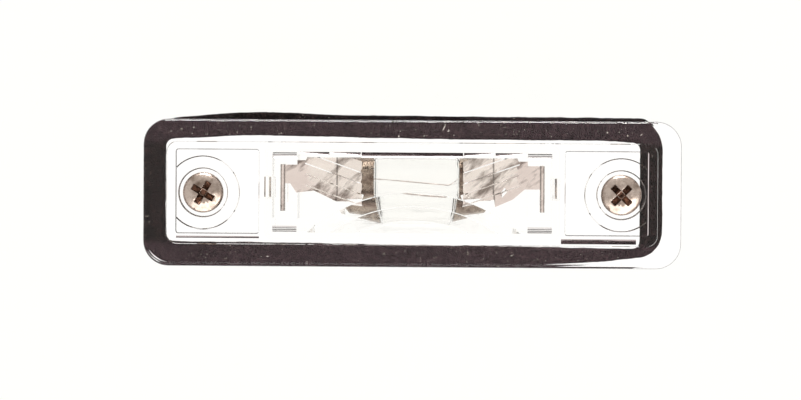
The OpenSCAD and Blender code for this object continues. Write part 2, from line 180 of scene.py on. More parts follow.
@dataclass(frozen=True)
class ClearPlastic:
    """Injection moulded clear plastic: polished, with hairline scratches under a faint, uneven film."""

    name: str
    tint: str
    ior: float
    # Real scratches are a few hundredths of a millimetre wide; they are drawn about 0.15 mm wide, to show
    scratch_mm: float = 0.9
    scratch_stretch: tuple[float, float, float] = (0.15, 6, 1)
    scratch_turn: float = 0.5
    scratch_depth: float = 0.004
    film_mm: float = 7.0
    film_low: float = 0.006
    film_high: float = 0.021

    def build(self) -> bpy.types.Material:
        """Makes the plastic.

        Returns:
            The material.
        """
        mat, tree, out = new_material(self.name)
        where = object_mm(tree)
        drawn = put(
            tree, "ShaderNodeMapping", in0=where,
            Rotation=(0, 0, self.scratch_turn), Scale=self.scratch_stretch,
        ).outputs[0]
        streaks = put(tree, "ShaderNodeTexNoise", Vector=drawn, Scale=1 / self.scratch_mm, Detail=3.0)
        hairs = put(
            tree, "ShaderNodeValToRGB", {"stops": [(0.64, 0.0), (0.7, 1.0)]}, Fac=streaks.outputs["Fac"]
        ).outputs[0]
        scratched = put(
            tree, "ShaderNodeBump", Height=hairs, Distance=self.scratch_depth * MM, Strength=0.35
        ).outputs[0]
        cloud = put(tree, "ShaderNodeTexNoise", Vector=where, Scale=1 / self.film_mm, Detail=4.0)
        film = put(
            tree, "ShaderNodeValToRGB", {"stops": [(0.35, self.film_low), (0.75, self.film_high)]},
            Fac=cloud.outputs["Fac"],
        ).outputs[0]
        body = put(
            tree, "ShaderNodeBsdfPrincipled", Base_Color=linear(self.tint), IOR=self.ior,
            Transmission_Weight=1.0, Roughness=film, Normal=scratched, Specular_Tint=SHEEN,
        )
        finish_clear(tree, out, body, self.tint)
        return mat


@dataclass(frozen=True)
class BlownGlass:
    """Thin blown bulb glass, clear and very smooth, with the faintest waves of a drawn tube."""

    name: str = "drawn_soda_glass"
    tint: str = "fdfdfc"
    ior: float = 1.52
    wave_mm: float = 3.0
    wave_stretch: tuple[float, float, float] = (0.1, 1, 1)
    wave_depth: float = 0.02
    rough: float = 0.01

    def build(self) -> bpy.types.Material:
        """Makes the glass.

        Returns:
            The material.
        """
        mat, tree, out = new_material(self.name)
        drawn = put(tree, "ShaderNodeMapping", in0=object_mm(tree), Scale=self.wave_stretch).outputs[0]
        waves = put(tree, "ShaderNodeTexNoise", Vector=drawn, Scale=1 / self.wave_mm, Detail=1.0)
        uneven = waves.outputs["Fac"]
        rough = put(
            tree, "ShaderNodeValToRGB", {"stops": [(0.3, 0.0), (0.8, self.rough)]}, Fac=uneven
        ).outputs[0]
        wavy = put(
            tree, "ShaderNodeBump", Height=uneven, Distance=self.wave_depth * MM, Strength=0.05
        ).outputs[0]
        body = put(
            tree, "ShaderNodeBsdfPrincipled", Base_Color=linear(self.tint), IOR=self.ior,
            Transmission_Weight=1.0, Roughness=rough, Normal=wavy, Specular_Tint=SHEEN,
        )
        finish_clear(tree, out, body, "ffffff")
        return mat


@dataclass(frozen=True)
class FoamRubber:
    """Closed-cell foam rubber: near black, finely pitted, with pale grit and a film of dust in places."""

    name: str = "closed_cell_foam_rubber"
    base: str = "040303"
    worn: str = "2f2424"
    grit: str = "b9b0a8"
    film: str = "5e4a54"
    # Cells of real foam are about 0.3 mm; they are drawn a little coarser, to show as a fine grain
    cell_mm: float = 0.35
    cell_depth: float = 0.12
    grain_mm: float = 0.5
    grit_mm: float = 0.42
    patch_mm: float = 9.0
    # A colour ramp runs from 0 to 1, which stands for 0 to this many mm up or down from the lamp's middle
    ramp_reach: float = 20.0
    # How much of the film lies at which share of that: all on the long strips, none on ends and bare edges
    film_stops: tuple = ((0.46, 0.0), (0.53, 1.0), (0.7, 1.0), (0.73, 0.0))

    def gritty(
        self, tree: bpy.types.NodeTree, where: bpy.types.NodeSocket, colour: bpy.types.NodeSocket
    ) -> bpy.types.NodeSocket:
        """Strews specks of grit over the foam, in patches.

        Args:
            tree: The node tree.
            where: Coordinates in millimetres.
            colour: The bare foam's colour.

        Returns:
            The colour with the specks.
        """
        grit = put(
            tree, "ShaderNodeTexNoise", Vector=where, Scale=1 / self.grit_mm, Detail=2.0, Roughness=0.6
        )
        cloud = put(tree, "ShaderNodeTexNoise", Vector=where, Scale=1 / self.patch_mm, Detail=3.0)
        specks = put(
            tree, "ShaderNodeValToRGB", {"stops": [(0.69, 0.0), (0.72, 1.0)]}, Fac=grit.outputs["Fac"]
        ).outputs[0]
        patches = put(
            tree, "ShaderNodeValToRGB", {"stops": [(0.45, 0.1), (0.65, 1.0)]}, Fac=cloud.outputs["Fac"]
        ).outputs[0]
        lies = put(tree, "ShaderNodeMath", {"operation": "MULTIPLY"}, in0=specks, in1=patches).outputs[0]
        return put(
            tree, "ShaderNodeMix", {"data_type": "RGBA"}, Factor=lies, in6=colour, in7=linear(self.grit)
        ).outputs[2]

    def filmed(
        self, tree: bpy.types.NodeTree, where: bpy.types.NodeSocket, grain: bpy.types.NodeSocket,
        colour: bpy.types.NodeSocket
    ) -> bpy.types.NodeSocket:
        """Lays the film of dust on the long strips, thicker where the grain is high.

        Args:
            tree: The node tree.
            where: Coordinates in millimetres.
            grain: The foam's grain.
            colour: The foam's colour with its grit.

        Returns:
            The colour under the film.
        """
        up = put(tree, "ShaderNodeSeparateXYZ", Vector=where).outputs["Y"]
        off = put(tree, "ShaderNodeMath", {"operation": "ABSOLUTE"}, in0=up).outputs[0]
        share = put(
            tree, "ShaderNodeMath", {"operation": "DIVIDE"}, in0=off, in1=self.ramp_reach
        ).outputs[0]
        cover = put(tree, "ShaderNodeValToRGB", {"stops": self.film_stops}, Fac=share).outputs[0]
        thick = put(
            tree, "ShaderNodeValToRGB", {"stops": [(0.35, 0.06), (0.65, 0.28)]}, Fac=grain
        ).outputs[0]
        lies = put(tree, "ShaderNodeMath", {"operation": "MULTIPLY"}, in0=cover, in1=thick).outputs[0]
        return put(
            tree, "ShaderNodeMix", {"data_type": "RGBA"}, Factor=lies, in6=colour, in7=linear(self.film)
        ).outputs[2]

    def build(self) -> bpy.types.Material:
        """Makes the foam.

        Returns:
            The material.
        """
        mat, tree, out = new_material(self.name)
        where = object_mm(tree)
        cells = put(tree, "ShaderNodeTexVoronoi", Vector=where, Scale=1 / self.cell_mm).outputs["Distance"]
        grain = put(
            tree, "ShaderNodeTexNoise", Vector=where, Scale=1 / self.grain_mm, Detail=5.0, Roughness=0.7
        ).outputs["Fac"]
        wear = put(tree, "ShaderNodeValToRGB", {"stops": [(0.46, 0.0), (0.66, 1.0)]}, Fac=grain).outputs[0]
        bare = put(
            tree, "ShaderNodeMix", {"data_type": "RGBA"}, Factor=wear,
            in6=linear(self.base), in7=linear(self.worn),
        ).outputs[2]
        colour = self.filmed(tree, where, grain, self.gritty(tree, where, bare))
        rough = put(tree, "ShaderNodeValToRGB", {"stops": [(0.3, 0.62), (0.7, 0.95)]}, Fac=grain).outputs[0]
        pitted = put(
            tree, "ShaderNodeBump", Height=cells, Distance=self.cell_depth * MM, Strength=0.5
        ).outputs[0]
        body = put(
            tree, "ShaderNodeBsdfPrincipled", Base_Color=colour, Roughness=rough,
            Specular_IOR_Level=0.08, Normal=pitted,
        )
        tree.links.new(body.outputs[0], out.inputs["Surface"])
        return mat


@dataclass(frozen=True)
class PlatedMetal:
    """Plated or drawn metal: bright, with a directional grain, patches of tarnish and painted shade along
    creases.
    """

    name: str
    bright: str
    tarnish: str
    rough: float
    # Real rolling and drawing marks are finer than 0.1 mm; they are drawn coarser, to show as a soft sheen
    grain_mm: float = 0.5
    grain_depth: float = 0.01
    # How many times finer than that the grain is along X, Y and Z
    grain: tuple[float, float, float] = (1.0, 1.0, 1.0)
    tarnish_from: float = 0.45
    tarnish_to: float = 0.75
    # Size of a patch of tarnish, how many times longer than wide it is, and its slant in degrees
    cloud_mm: float = 2.6
    streak: float = 1.0
    streak_turn: float = 0.0
    # Places along the lamp where lines of painted shade lie, their colour, and the height above which they
    # show, in mm
    creases: tuple[float, ...] = ()
    crease_shade: str = "57504b"
    shade_from: float = -1.5

    def painted_shade(
        self, tree: bpy.types.NodeTree, where: bpy.types.NodeSocket, colour: bpy.types.NodeSocket
    ) -> bpy.types.NodeSocket:
        """Draws a thin line of painted shade along each crease and sheared edge, near the window only.

        Args:
            tree: The node tree.
            where: Coordinates in millimetres.
            colour: The clean metal's colour.

        Returns:
            The colour with the lines.
        """
        axes = put(tree, "ShaderNodeSeparateXYZ", Vector=where)
        height = put(
            tree, "ShaderNodeMath", {"operation": "SUBTRACT"}, in0=axes.outputs["Z"], in1=self.shade_from
        ).outputs[0]
        front = put(tree, "ShaderNodeValToRGB", {"stops": [(0.0, 0.0), (0.5, 1.0)]}, Fac=height).outputs[0]
        for crease in self.creases:
            off = put(
                tree, "ShaderNodeMath", {"operation": "SUBTRACT"}, in0=axes.outputs["X"], in1=crease
            ).outputs[0]
            near = put(tree, "ShaderNodeMath", {"operation": "ABSOLUTE"}, in0=off).outputs[0]
            # Painted shade: darkest on the crease itself, gone about 0.2 mm from it
            line = put(
                tree, "ShaderNodeValToRGB", {"stops": [(0.0, 0.85), (0.09, 0.6), (0.22, 0.0)]}, Fac=near
            ).outputs[0]
            seen = put(tree, "ShaderNodeMath", {"operation": "MULTIPLY"}, in0=line, in1=front).outputs[0]
            colour = put(
                tree, "ShaderNodeMix", {"data_type": "RGBA"}, Factor=seen,
                in6=colour, in7=linear(self.crease_shade),
            ).outputs[2]
        return colour

    def build(self) -> bpy.types.Material:
        """Makes the metal.

        Returns:
            The material.
        """
        mat, tree, out = new_material(self.name)
        where = object_mm(tree)
        along = put(tree, "ShaderNodeMapping", in0=where, Scale=self.grain).outputs[0]
        fine = put(
            tree, "ShaderNodeTexNoise", Vector=along, Scale=1 / self.grain_mm, Detail=4.0
        ).outputs["Fac"]
        streaked = put(
            tree, "ShaderNodeMapping", {"vector_type": "TEXTURE"}, in0=where,
            Rotation=(0, 0, math.radians(self.streak_turn)), Scale=(self.streak, 1, 1),
        ).outputs[0]
        cloud = put(
            tree, "ShaderNodeTexNoise", Vector=streaked, Scale=1 / self.cloud_mm, Detail=4.0, Roughness=0.6
        )
        stain = put(
            tree, "ShaderNodeValToRGB", {"stops": [(self.tarnish_from, 0.0), (self.tarnish_to, 1.0)]},
            Fac=cloud.outputs["Fac"],
        ).outputs[0]
        clean = put(
            tree, "ShaderNodeMix", {"data_type": "RGBA"}, Factor=stain,
            in6=linear(self.bright), in7=linear(self.tarnish),
        ).outputs[2]
        rough = put(
            tree, "ShaderNodeValToRGB", {"stops": [(0.3, 0.75 * self.rough), (0.7, 1.4 * self.rough)]},
            Fac=fine,
        ).outputs[0]
        uneven = put(
            tree, "ShaderNodeBump", Height=fine, Distance=self.grain_depth * MM, Strength=0.4
        ).outputs[0]
        body = put(
            tree, "ShaderNodeBsdfPrincipled", Base_Color=self.painted_shade(tree, where, clean),
            Metallic=1.0, Roughness=rough, Normal=uneven,
        )
        tree.links.new(body.outputs[0], out.inputs["Surface"])
        return mat


@dataclass(frozen=True)
class Cement:
    """Basing cement: matte, gritty and cream, with darker resin patches."""

    name: str = "basing_cement"
    pale: str = "d9cfbd"
    dark: str = "a8977c"
    # Real grit is about 0.1 mm; it is drawn coarser, to show as a grain
    grit_mm: float = 0.3
    grit_depth: float = 0.06

    def build(self) -> bpy.types.Material:
        """Makes the cement.

        Returns:
            The material.
        """
        mat, tree, out = new_material(self.name)
        grit = put(
            tree, "ShaderNodeTexNoise", Vector=object_mm(tree), Scale=1 / self.grit_mm, Detail=5.0
        ).outputs["Fac"]
        colour = put(
            tree, "ShaderNodeValToRGB", {"stops": [(0.35, linear(self.dark)), (0.65, linear(self.pale))]},
            Fac=grit,
        ).outputs[0]
        gritty = put(
            tree, "ShaderNodeBump", Height=grit, Distance=self.grit_depth * MM, Strength=0.6
        ).outputs[0]
        body = put(tree, "ShaderNodeBsdfPrincipled", Base_Color=colour, Roughness=0.85, Normal=gritty)
        tree.links.new(body.outputs[0], out.inputs["Surface"])
        return mat


@dataclass(frozen=True)
class Lint:
    """Household dust and lint: matte flakes from grey to nearly white."""

    name: str = "dust_and_lint"
    dark: str = "8f8780"
    pale: str = "e6dfd8"
    patch_mm: float = 1.5

    def build(self) -> bpy.types.Material:
        """Makes the lint.

        Returns:
            The material.
        """
        mat, tree, out = new_material(self.name)
        cloud = put(
            tree, "ShaderNodeTexNoise", Vector=object_mm(tree), Scale=1 / self.patch_mm, Detail=2.0
        ).outputs["Fac"]
        tone = put(
            tree, "ShaderNodeValToRGB", {"stops": [(0.3, linear(self.dark)), (0.7, linear(self.pale))]},
            Fac=cloud,
        ).outputs[0]
        body = put(tree, "ShaderNodeBsdfPrincipled", Base_Color=tone, Roughness=0.9)
        tree.links.new(body.outputs[0], out.inputs["Surface"])
        return mat


@dataclass(frozen=True)
class Finishes:
    """Every finish of the lamp, one for each kind of piece."""

    # Moulded PMMA: as good as colourless, so that only its bent edges and faint film show
    acrylic: ClearPlastic = ClearPlastic("moulded_acrylic", "fffefc", 1.49)
    # Moulded polycarbonate bends light more, so the carrier's edges show a little darker
    carrier: ClearPlastic = ClearPlastic("moulded_polycarbonate", "fffffd", 1.585)
    # Blown soda glass: nearly unseen but for its rims
    glass: BlownGlass = BlownGlass()
    # Skinned foam rubber: a dull black that dust sticks to
    foam: FoamRubber = FoamRubber()
    # Nickel plate over brass sheet, rolled along X: pale, gently waved, with slanting streaks of tarnish
    sheet: PlatedMetal = PlatedMetal(
        "nickel_plated_brass_sheet", "fdf7f2", "948a83", 0.16, grain=(0.4, 1, 1), grain_mm=3.0,
        grain_depth=0.4, tarnish_from=0.5, tarnish_to=0.62, cloud_mm=3.4, streak=3.0, streak_turn=40.0,
    )
    # Drawn and plated caps: brown and blotched from the bulb's heat
    cap: PlatedMetal = PlatedMetal(
        "nickel_plated_drawn_cap", "a89a8c", "4f3b2f", 0.22, grain=(1, 0.2, 0.2), grain_mm=0.4,
        tarnish_from=0.42, tarnish_to=0.66,
    )
    # Zinc plate on pressed steel: soft sheen, slightly clouded
    screw: PlatedMetal = PlatedMetal(
        "zinc_plated_screw_steel", "c0b2a7", "77675b", 0.27, grain_mm=1.2, grain_depth=0.004,
        tarnish_from=0.42, tarnish_to=0.7,
    )
    # Painted shade deep in the punched recess: its faces are drawn dark and brown
    recess: PlatedMetal = PlatedMetal(
        "shaded_recess_steel", "8a6654", "2f221b", 0.25, grain_mm=0.6, grain_depth=0.08,
        tarnish_from=0.34, tarnish_to=0.58, cloud_mm=1.2,
    )
    # Solder, drawn wire and coiled tungsten: small, dull and hardly seen
    solder: PlatedMetal = PlatedMetal("tin_lead_solder", "c8c8c6", "8c8a86", 0.35)
    wire: PlatedMetal = PlatedMetal("nickel_iron_wire", "a9a29b", "6e645c", 0.3)
    tungsten: PlatedMetal = PlatedMetal("coiled_tungsten", "d0c2bc", "a2948d", 0.4)
    # Basing cement: cream and gritty
    cement: Cement = Cement()
    # Dust and lint under the lens: the pale specks on the black foam
    lint: Lint = Lint()


def deselect() -> None:
    """Leaves nothing selected and nothing in edit mode."""
    if bpy.context.object is not None and bpy.context.object.mode != "OBJECT":
        bpy.ops.object.mode_set(mode="OBJECT")
    bpy.ops.object.select_all(action="DESELECT")


def make_active(obj: bpy.types.Object) -> None:
    """Selects one object alone and makes it the active one.

    Args:
        obj: The object.
    """
    deselect()
    obj.select_set(True)
    bpy.context.view_layer.objects.active = obj


def settle(obj: bpy.types.Object) -> None:
    """Puts an object's place, turn and scale into its mesh, so that it sits at the origin."""
    make_active(obj)
    bpy.ops.object.transform_apply(location=True, rotation=True, scale=True)


def apply_all(obj: bpy.types.Object) -> None:
    """Applies an object's modifiers in order.

    Args:
        obj: The object.
    """
    make_active(obj)
    for modifier in list(obj.modifiers):
        bpy.ops.object.modifier_apply(modifier=modifier.name)


def face_out(obj: bpy.types.Object, merge: float = 1e-7) -> None:
    """Merges doubles and turns every face of a closed mesh outwards.

    Args:
        obj: The mesh object.
        merge: Distance in metres below which vertices are one.
    """
    make_active(obj)
    bpy.ops.object.mode_set(mode="EDIT")
    bpy.ops.mesh.select_all(action="SELECT")
    bpy.ops.mesh.remove_doubles(threshold=merge)
    bpy.ops.mesh.normals_make_consistent(inside=False)
    bpy.ops.object.mode_set(mode="OBJECT")


def close_ends(obj: bpy.types.Object) -> None:
    """Closes the open ends of a wound wire or thread.

    Args:
        obj: The mesh object.
    """
    make_active(obj)
    bpy.ops.object.mode_set(mode="EDIT")
    bpy.ops.mesh.select_all(action="DESELECT")
    bpy.ops.mesh.select_non_manifold()
    bpy.ops.mesh.edge_face_add()
    bpy.ops.object.mode_set(mode="OBJECT")


def wind(obj: bpy.types.Object, pitch: float, turns: int, steps: int) -> None:
    """Winds a profile up along Z.

    Args:
        obj: The profile.
        pitch: Rise of one turn.
        turns: Number of turns.
        steps: Steps in one turn.
    """
    twist = obj.modifiers.new("winding", "SCREW")
    twist.axis = "Z"
    twist.steps = twist.render_steps = steps
    twist.screw_offset = pitch
    twist.iterations = turns
    apply_all(obj)


def smooth(obj: bpy.types.Object, degrees: float) -> None:
    """Shades an object smooth below an edge angle."""
    make_active(obj)
    bpy.ops.object.shade_smooth_by_angle(angle=math.radians(degrees))


def dress(obj: bpy.types.Object, mat: bpy.types.Material) -> None:
    """Gives all of an object one material."""
    obj.data.materials.clear()
    obj.data.materials.append(mat)


def copy_of(node: str, name: str) -> bpy.types.Object:
    """Copies a CAD node with a mesh of its own.

    Args:
        node: The CAD node's name.
        name: The copy's name.

    Returns:
        The copy, settled.
    """
    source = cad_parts[node]
    copy = bpy.data.objects.new(name, source.data.copy())
    bpy.context.collection.objects.link(copy)
    copy.matrix_world = source.matrix_world
    settle(copy)
    return copy


@dataclass
class SealRing:
    """The foam seal: a copy of the solid ring, voxel meshed, softened and roughened as squeezed foam is."""

    voxel: float = 0.45 * MM
    soften: int = 6
    lump_size: float = 5 * MM
    lump_high: float = 0.25 * MM
    pit_size: float = 0.9 * MM
    pit_deep: float = 0.12 * MM
    # Above a half, so that lumps and pits go mostly inwards
    inward: float = 0.62
    smooth_below: float = 60

    def build(self, finish: FoamRubber) -> bpy.types.Object:
        """Makes the seal.

        Args:
            finish: The foam.

        Returns:
            The dressed seal.
        """
        ring = copy_of("gasket", "foam_seal")
        face_out(ring, 1e-6)
        remesh = ring.modifiers.new("cells", "REMESH")
        remesh.mode = "VOXEL"
        remesh.voxel_size = self.voxel
        relax = ring.modifiers.new("soft edges", "SMOOTH")
        relax.factor = 0.5
        relax.iterations = self.soften
        clouds = (("lumps", self.lump_size, self.lump_high), ("pits", self.pit_size, self.pit_deep))
        for name, size, high in clouds:
            texture = bpy.data.textures.new(name, "CLOUDS")
            texture.noise_scale = size
            texture.noise_depth = 2
            push = ring.modifiers.new(name, "DISPLACE")
            push.texture = texture
            push.texture_coords = "LOCAL"
            push.strength = high
            push.mid_level = self.inward
        apply_all(ring)
        smooth(ring, self.smooth_below)
        dress(ring, finish.build())
        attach(ring, ROOT)
        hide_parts("gasket")
        log.info("seal ring: %d faces", len(ring.data.polygons))
        return ring


@dataclass
class Filament:
    """The tungsten filament: a close coil that slopes down from the left and turns up to the right wire."""

    coil_r: float = 0.14 * MM
    wire_r: float = 0.045 * MM
    pitch: float = 0.17 * MM
    # The share of the way from left to right at which the coil is lowest
    low_at: float = 0.88
    wire_sides: int = 6
    steps: int = 10
    smooth_below: float = 80

    def fall(self, along: float) -> float:
        """Says how far the coil has come down, from 0 at both wires to 1 at its lowest.

        Args:
            along: Place between the wires, 0 at the left one and 1 at the right one.

        Returns:
            The share of the whole drop.
        """
        if along < self.low_at:
            return along / self.low_at
        return math.cos((along - self.low_at) / (1 - self.low_at) * math.pi / 2)

    def build(self, finish: PlatedMetal) -> bpy.types.Object:
        """Makes the filament where its solid is.

        Args:
            finish: The tungsten.

        Returns:
            The dressed coil.
        """
        lo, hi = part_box("filament")
        centre = Vector(((lo[0] + hi[0]) / 2, hi[1] - self.coil_r, (lo[2] + hi[2]) / 2))
        drop = hi[1] - lo[1] - 2 * self.coil_r
        half = (hi[0] - lo[0]) / 2 - self.wire_r
        turns = round(2 * half / self.pitch)
        deselect()
        bpy.ops.mesh.primitive_circle_add(
            vertices=self.wire_sides, radius=self.wire_r,
            location=(self.coil_r - self.wire_r, 0, -half), rotation=(math.pi / 2, 0, 0)
        )
        coil = bpy.context.object
        coil.name = "coiled_filament"
        settle(coil)
        wind(coil, self.pitch, turns, self.steps)
        coil.matrix_world = Matrix.Rotation(math.pi / 2, 4, "Y")
        settle(coil)
        for vert in coil.data.vertices:
            along = min(max((vert.co.x + half) / (2 * half), 0), 1)
            vert.co = centre + vert.co - Vector((0, drop * self.fall(along), 0))
        close_ends(coil)
        face_out(coil)
        smooth(coil, self.smooth_below)
        dress(coil, finish.build())
        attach(coil, ROOT)
        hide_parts("filament")
        log.info("filament: %d turns", turns)
        return coil


@dataclass
class Screws:
    """The two pan head screws: each the CAD head and neck, with a turned core and a rolled thread below."""

    pitch: float = 1.4 * MM
    core_r: float = 1.45 * MM
    thread_r: float = 2.09 * MM
    # The thread's root lies inside the core, at this share of its radius
    root_share: float = 0.9
    crest: float = 0.1 * MM
    foot: float = 0.45 * MM
    point: float = 3.5 * MM
    tip_r: float = 0.15 * MM
    neck_end: float = 0.3 * MM
    # The cross recess, and how upright a face is or how deep it lies to take the painted shade
    recess_r: float = 2.35 * MM
    recess_rim: float = 0.15 * MM
    recess_deep: float = 2.6 * MM
    crown_lean: float = 0.9
    floor_deep: float = 0.8 * MM
    edge_r: float = 0.09 * MM
    edge_angle: float = 50
    steps: int = 36
    smooth_below: float = 30

    def head(self, side: Side) -> bpy.types.Object:
        """Makes the head from a copy of one CAD screw, cut off below its neck.

        Args:
            side: Which screw.

        Returns:
            The head with its neck.
        """
        top = copy_of(side.node("screw"), side.node("pan_head_screw"))
        bpy.ops.object.mode_set(mode="EDIT")
        bpy.ops.mesh.select_all(action="SELECT")
        bpy.ops.mesh.remove_doubles(threshold=1e-6)
        bpy.ops.mesh.bisect(
            plane_co=(0, 0, self.neck_end), plane_no=(0, 0, 1), use_fill=True, clear_inner=True
        )
        bpy.ops.object.mode_set(mode="OBJECT")
        return top

    def core(self, x: float, y: float, tip: float) -> bpy.types.Object:
        """Makes the turned core with its gimlet point.

        Args:
            x: Place of the shank along the lamp.
            y: Place of the shank up the lamp.
            tip: Height of the point.

        Returns:
            The core.
        """
        top = 2 * self.neck_end
        deselect()
        bpy.ops.mesh.primitive_cylinder_add(
            vertices=self.steps, radius=self.core_r, depth=top - tip - self.point,
            location=(x, y, (top + tip + self.point) / 2)
        )
        body = bpy.context.object
        bpy.ops.mesh.primitive_cone_add(
            vertices=self.steps, radius1=self.tip_r, radius2=self.core_r, depth=self.point,
            location=(x, y, tip + self.point / 2)
        )
        bpy.context.object.select_set(True)
        body.select_set(True)
        bpy.context.view_layer.objects.active = body
        bpy.ops.object.join()
        settle(body)
        return body

    def ridge(self, x: float, y: float, tip: float) -> bpy.types.Object:
        """Winds the thread's ridge from just above the point to the neck and draws it in over the point.

        Args:
            x: Place of the shank along the lamp.
            y: Place of the shank up the lamp.
            tip: Height of the point.

        Returns:
            The ridge.
        """
        start = tip + self.foot
        turns = int((-self.foot - start) / self.pitch)
        deselect()
        bpy.ops.mesh.primitive_circle_add(vertices=4, radius=self.foot, rotation=(math.pi / 2, 0, 0))
        ridge = bpy.context.object
        settle(ridge)
        root = self.root_share * self.core_r
        profile = [
            (root, self.foot), (self.thread_r, self.crest),
            (self.thread_r, -self.crest), (root, -self.foot),
        ]
        for vert, (out, up) in zip(ridge.data.vertices, profile):
            vert.co = Vector((out, 0, start + up))
        wind(ridge, self.pitch, turns, self.steps)
        for vert in ridge.data.vertices:
            draw = min(max((vert.co.z - tip) / self.point, self.tip_r / self.core_r), 1)
            vert.co = Vector((vert.co.x * draw + x, vert.co.y * draw + y, max(vert.co.z, tip)))
        close_ends(ridge)
        return ridge

    def shade_recess(self, head: bpy.types.Object, x: float, y: float, top: float) -> None:
        """Gives the faces inside the cross recess the head's second material, their painted shade.

        Args:
            head: The head.
            x: Place of the shank along the lamp.
            y: Place of the shank up the lamp.
            top: Height of the head's crown.
        """
        for poly in head.data.polygons:
            out = math.hypot(poly.center.x - x, poly.center.y - y)
            if out < self.recess_r and top - self.recess_deep < poly.center.z < top - self.recess_rim:
                if abs(poly.normal.z) < self.crown_lean or poly.center.z < top - self.floor_deep:
                    poly.material_index = 1

    def break_edges(self, head: bpy.types.Object) -> None:
        """Rounds the sharp edges of a head, which stay bright because they rub.

        Args:
            head: The head, its recess given painted shade.
        """
        bevel = head.modifiers.new("broken edges", "BEVEL")
        bevel.width = self.edge_r
        bevel.segments = 2
        bevel.limit_method = "ANGLE"
        bevel.angle_limit = math.radians(self.edge_angle)
        bevel.material = 0
        apply_all(head)

    def build(self, finish: PlatedMetal, recess: PlatedMetal) -> None:
        """Makes both screws.

        Args:
            finish: The plating of the whole screw.
            recess: The dark brown plating drawn inside the cross recess, as painted shade.
        """
        mat = finish.build()
        # The recess gets a dark brown second material: painted shade
        painted_shade = recess.build()
        for side in Side:
            lo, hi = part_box(side.node("screw"))
            x, y = (lo[0] + hi[0]) / 2, (lo[1] + hi[1]) / 2
            pieces = [self.head(side), self.core(x, y, lo[2]), self.ridge(x, y, lo[2])]
            for piece in pieces:
                dress(piece, mat)
            pieces[0].data.materials.append(painted_shade)
            self.shade_recess(pieces[0], x, y, hi[2])
            self.break_edges(pieces[0])
            deselect()
            for piece in pieces:
                piece.select_set(True)
            bpy.context.view_layer.objects.active = pieces[0]
            bpy.ops.object.join()
            screw = bpy.context.object
            face_out(screw)
            smooth(screw, self.smooth_below)
            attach(screw, ROOT)
            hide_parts(side.node("screw"))
            log.info("%s: %d faces", screw.name, len(screw.data.polygons))


@dataclass
class Dust:
    """Lint and flecks that lie on the seal under the lens, as thin flakes."""

    seed: int = 7
    flecks: int = 110
    thickness: float = 0.03 * MM
    sides: int = 7
    # Bare stretch at each end of the seal, share of flecks on the upper strip, both strips' heights in mm
    clear_left: float = 3 * MM
    clear_right: float = 6 * MM
    on_top: float = 0.6
    top_strip: tuple[float, float] = (11.4, 13.8)
    low_strip: tuple[float, float] = (-13.6, -11.2)
    # Lengths of flecks in mm, widths as shares of the length, and the largest turn in radians
    sizes: tuple[float, float] = (0.08, 0.19)
    widths: tuple[float, float] = (0.4, 1.0)
    most_turn: float = 3.14
    # Marks that stand out in the photograph: x and y in mm, length, width, angle in degrees
    marks: tuple = (
        (6.2, 13.0, 1.3, 0.16, 62), (7.1, 12.4, 0.5, 0.16, 20), (-45.6, 12.5, 0.45, 0.25, 0),
        (-43.2, 12.8, 0.3, 0.2, 40), (38.4, 12.3, 0.35, 0.28, 80), (42.4, 11.7, 0.35, 0.3, 80),
        (45.1, 11.9, 0.6, 0.12, 35), (19.7, -12.1, 0.5, 0.15, 10), (17.1, -13.9, 0.5, 0.15, 0),
        (2.3, 11.4, 0.3, 0.15, 30), (-2.7, 11.3, 0.4, 0.2, 70), (-28.5, -12.6, 0.4, 0.15, 0),
    )

    def fleck(
        self, x: float, y: float, z: float, long: float, wide: float, turn: float
    ) -> bpy.types.Object:
        """Makes one flake.

        Args:
            x: Place along the lamp, in metres.
            y: Place up the lamp.
            z: Height of its lower face.
            long: Length.
            wide: Width.
            turn: Angle about Z, in radians.

        Returns:
            The flake, settled.
        """
        deselect()
        bpy.ops.mesh.primitive_cylinder_add(vertices=self.sides, radius=0.5, depth=1, location=(0, 0, 0.5))
        flake = bpy.context.object
        flake.scale = (long, wide, self.thickness)
        flake.rotation_euler = (0, 0, turn)
        flake.location = (x, y, z)
        settle(flake)
        return flake

    def strew(self, surface: float) -> list[bpy.types.Object]:
        """Makes the marks and, by seeded chance, the other flecks.

        Args:
            surface: Height of the seal's front face.

        Returns:
            All the flakes.
        """
        rng = random.Random(self.seed)
        lo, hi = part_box("gasket")
        made = [
            self.fleck(x * MM, y * MM, surface, long * MM, wide * MM, math.radians(angle))
            for x, y, long, wide, angle in self.marks
        ]
        for _ in range(self.flecks):
            x = rng.uniform(lo[0] + self.clear_left, hi[0] - self.clear_right)
            strip = self.top_strip if rng.random() < self.on_top else self.low_strip
            y = rng.uniform(*strip) * MM
            long = rng.uniform(*self.sizes) * MM
            wide = long * rng.uniform(*self.widths)
            made.append(self.fleck(x, y, surface, long, wide, rng.uniform(0, self.most_turn)))
        return made

    def build(self, surface: float, finish: Lint) -> bpy.types.Object:
        """Makes the dust as one piece.

        Args:
            surface: Height of the seal's front face.
            finish: The lint.

        Returns:
            The joined, dressed flakes.
        """
        made = self.strew(surface)
        deselect()
        for flake in made:
            flake.select_set(True)
        bpy.context.view_layer.objects.active = made[0]
        bpy.ops.object.join()
        dust = bpy.context.object
        dust.name = "dust_flecks"
        face_out(dust)
        dress(dust, finish.build())
        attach(dust, ROOT)
        log.info("dust: %d flecks", len(made))
        return dust


@dataclass
class Bulb:
    """The festoon bulb's CAD pieces and their finishes."""

    finishes: Finishes

    def build(self) -> None:
        """Dresses glass, caps, cement, solder and wires, and makes the filament."""
        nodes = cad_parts
        dress(nodes["bulb_glass"], self.finishes.glass.build())
        for stem, finish in (
            ("bulb_cap", self.finishes.cap), ("cap_cement", self.finishes.cement),
            ("solder_tip", self.finishes.solder), ("lead_wire", self.finishes.wire),
        ):
            mat = finish.build()
            for side in Side:
                dress(nodes[side.node(stem)], mat)
        Filament().build(self.finishes.tungsten)
        log.info("bulb: dressed")


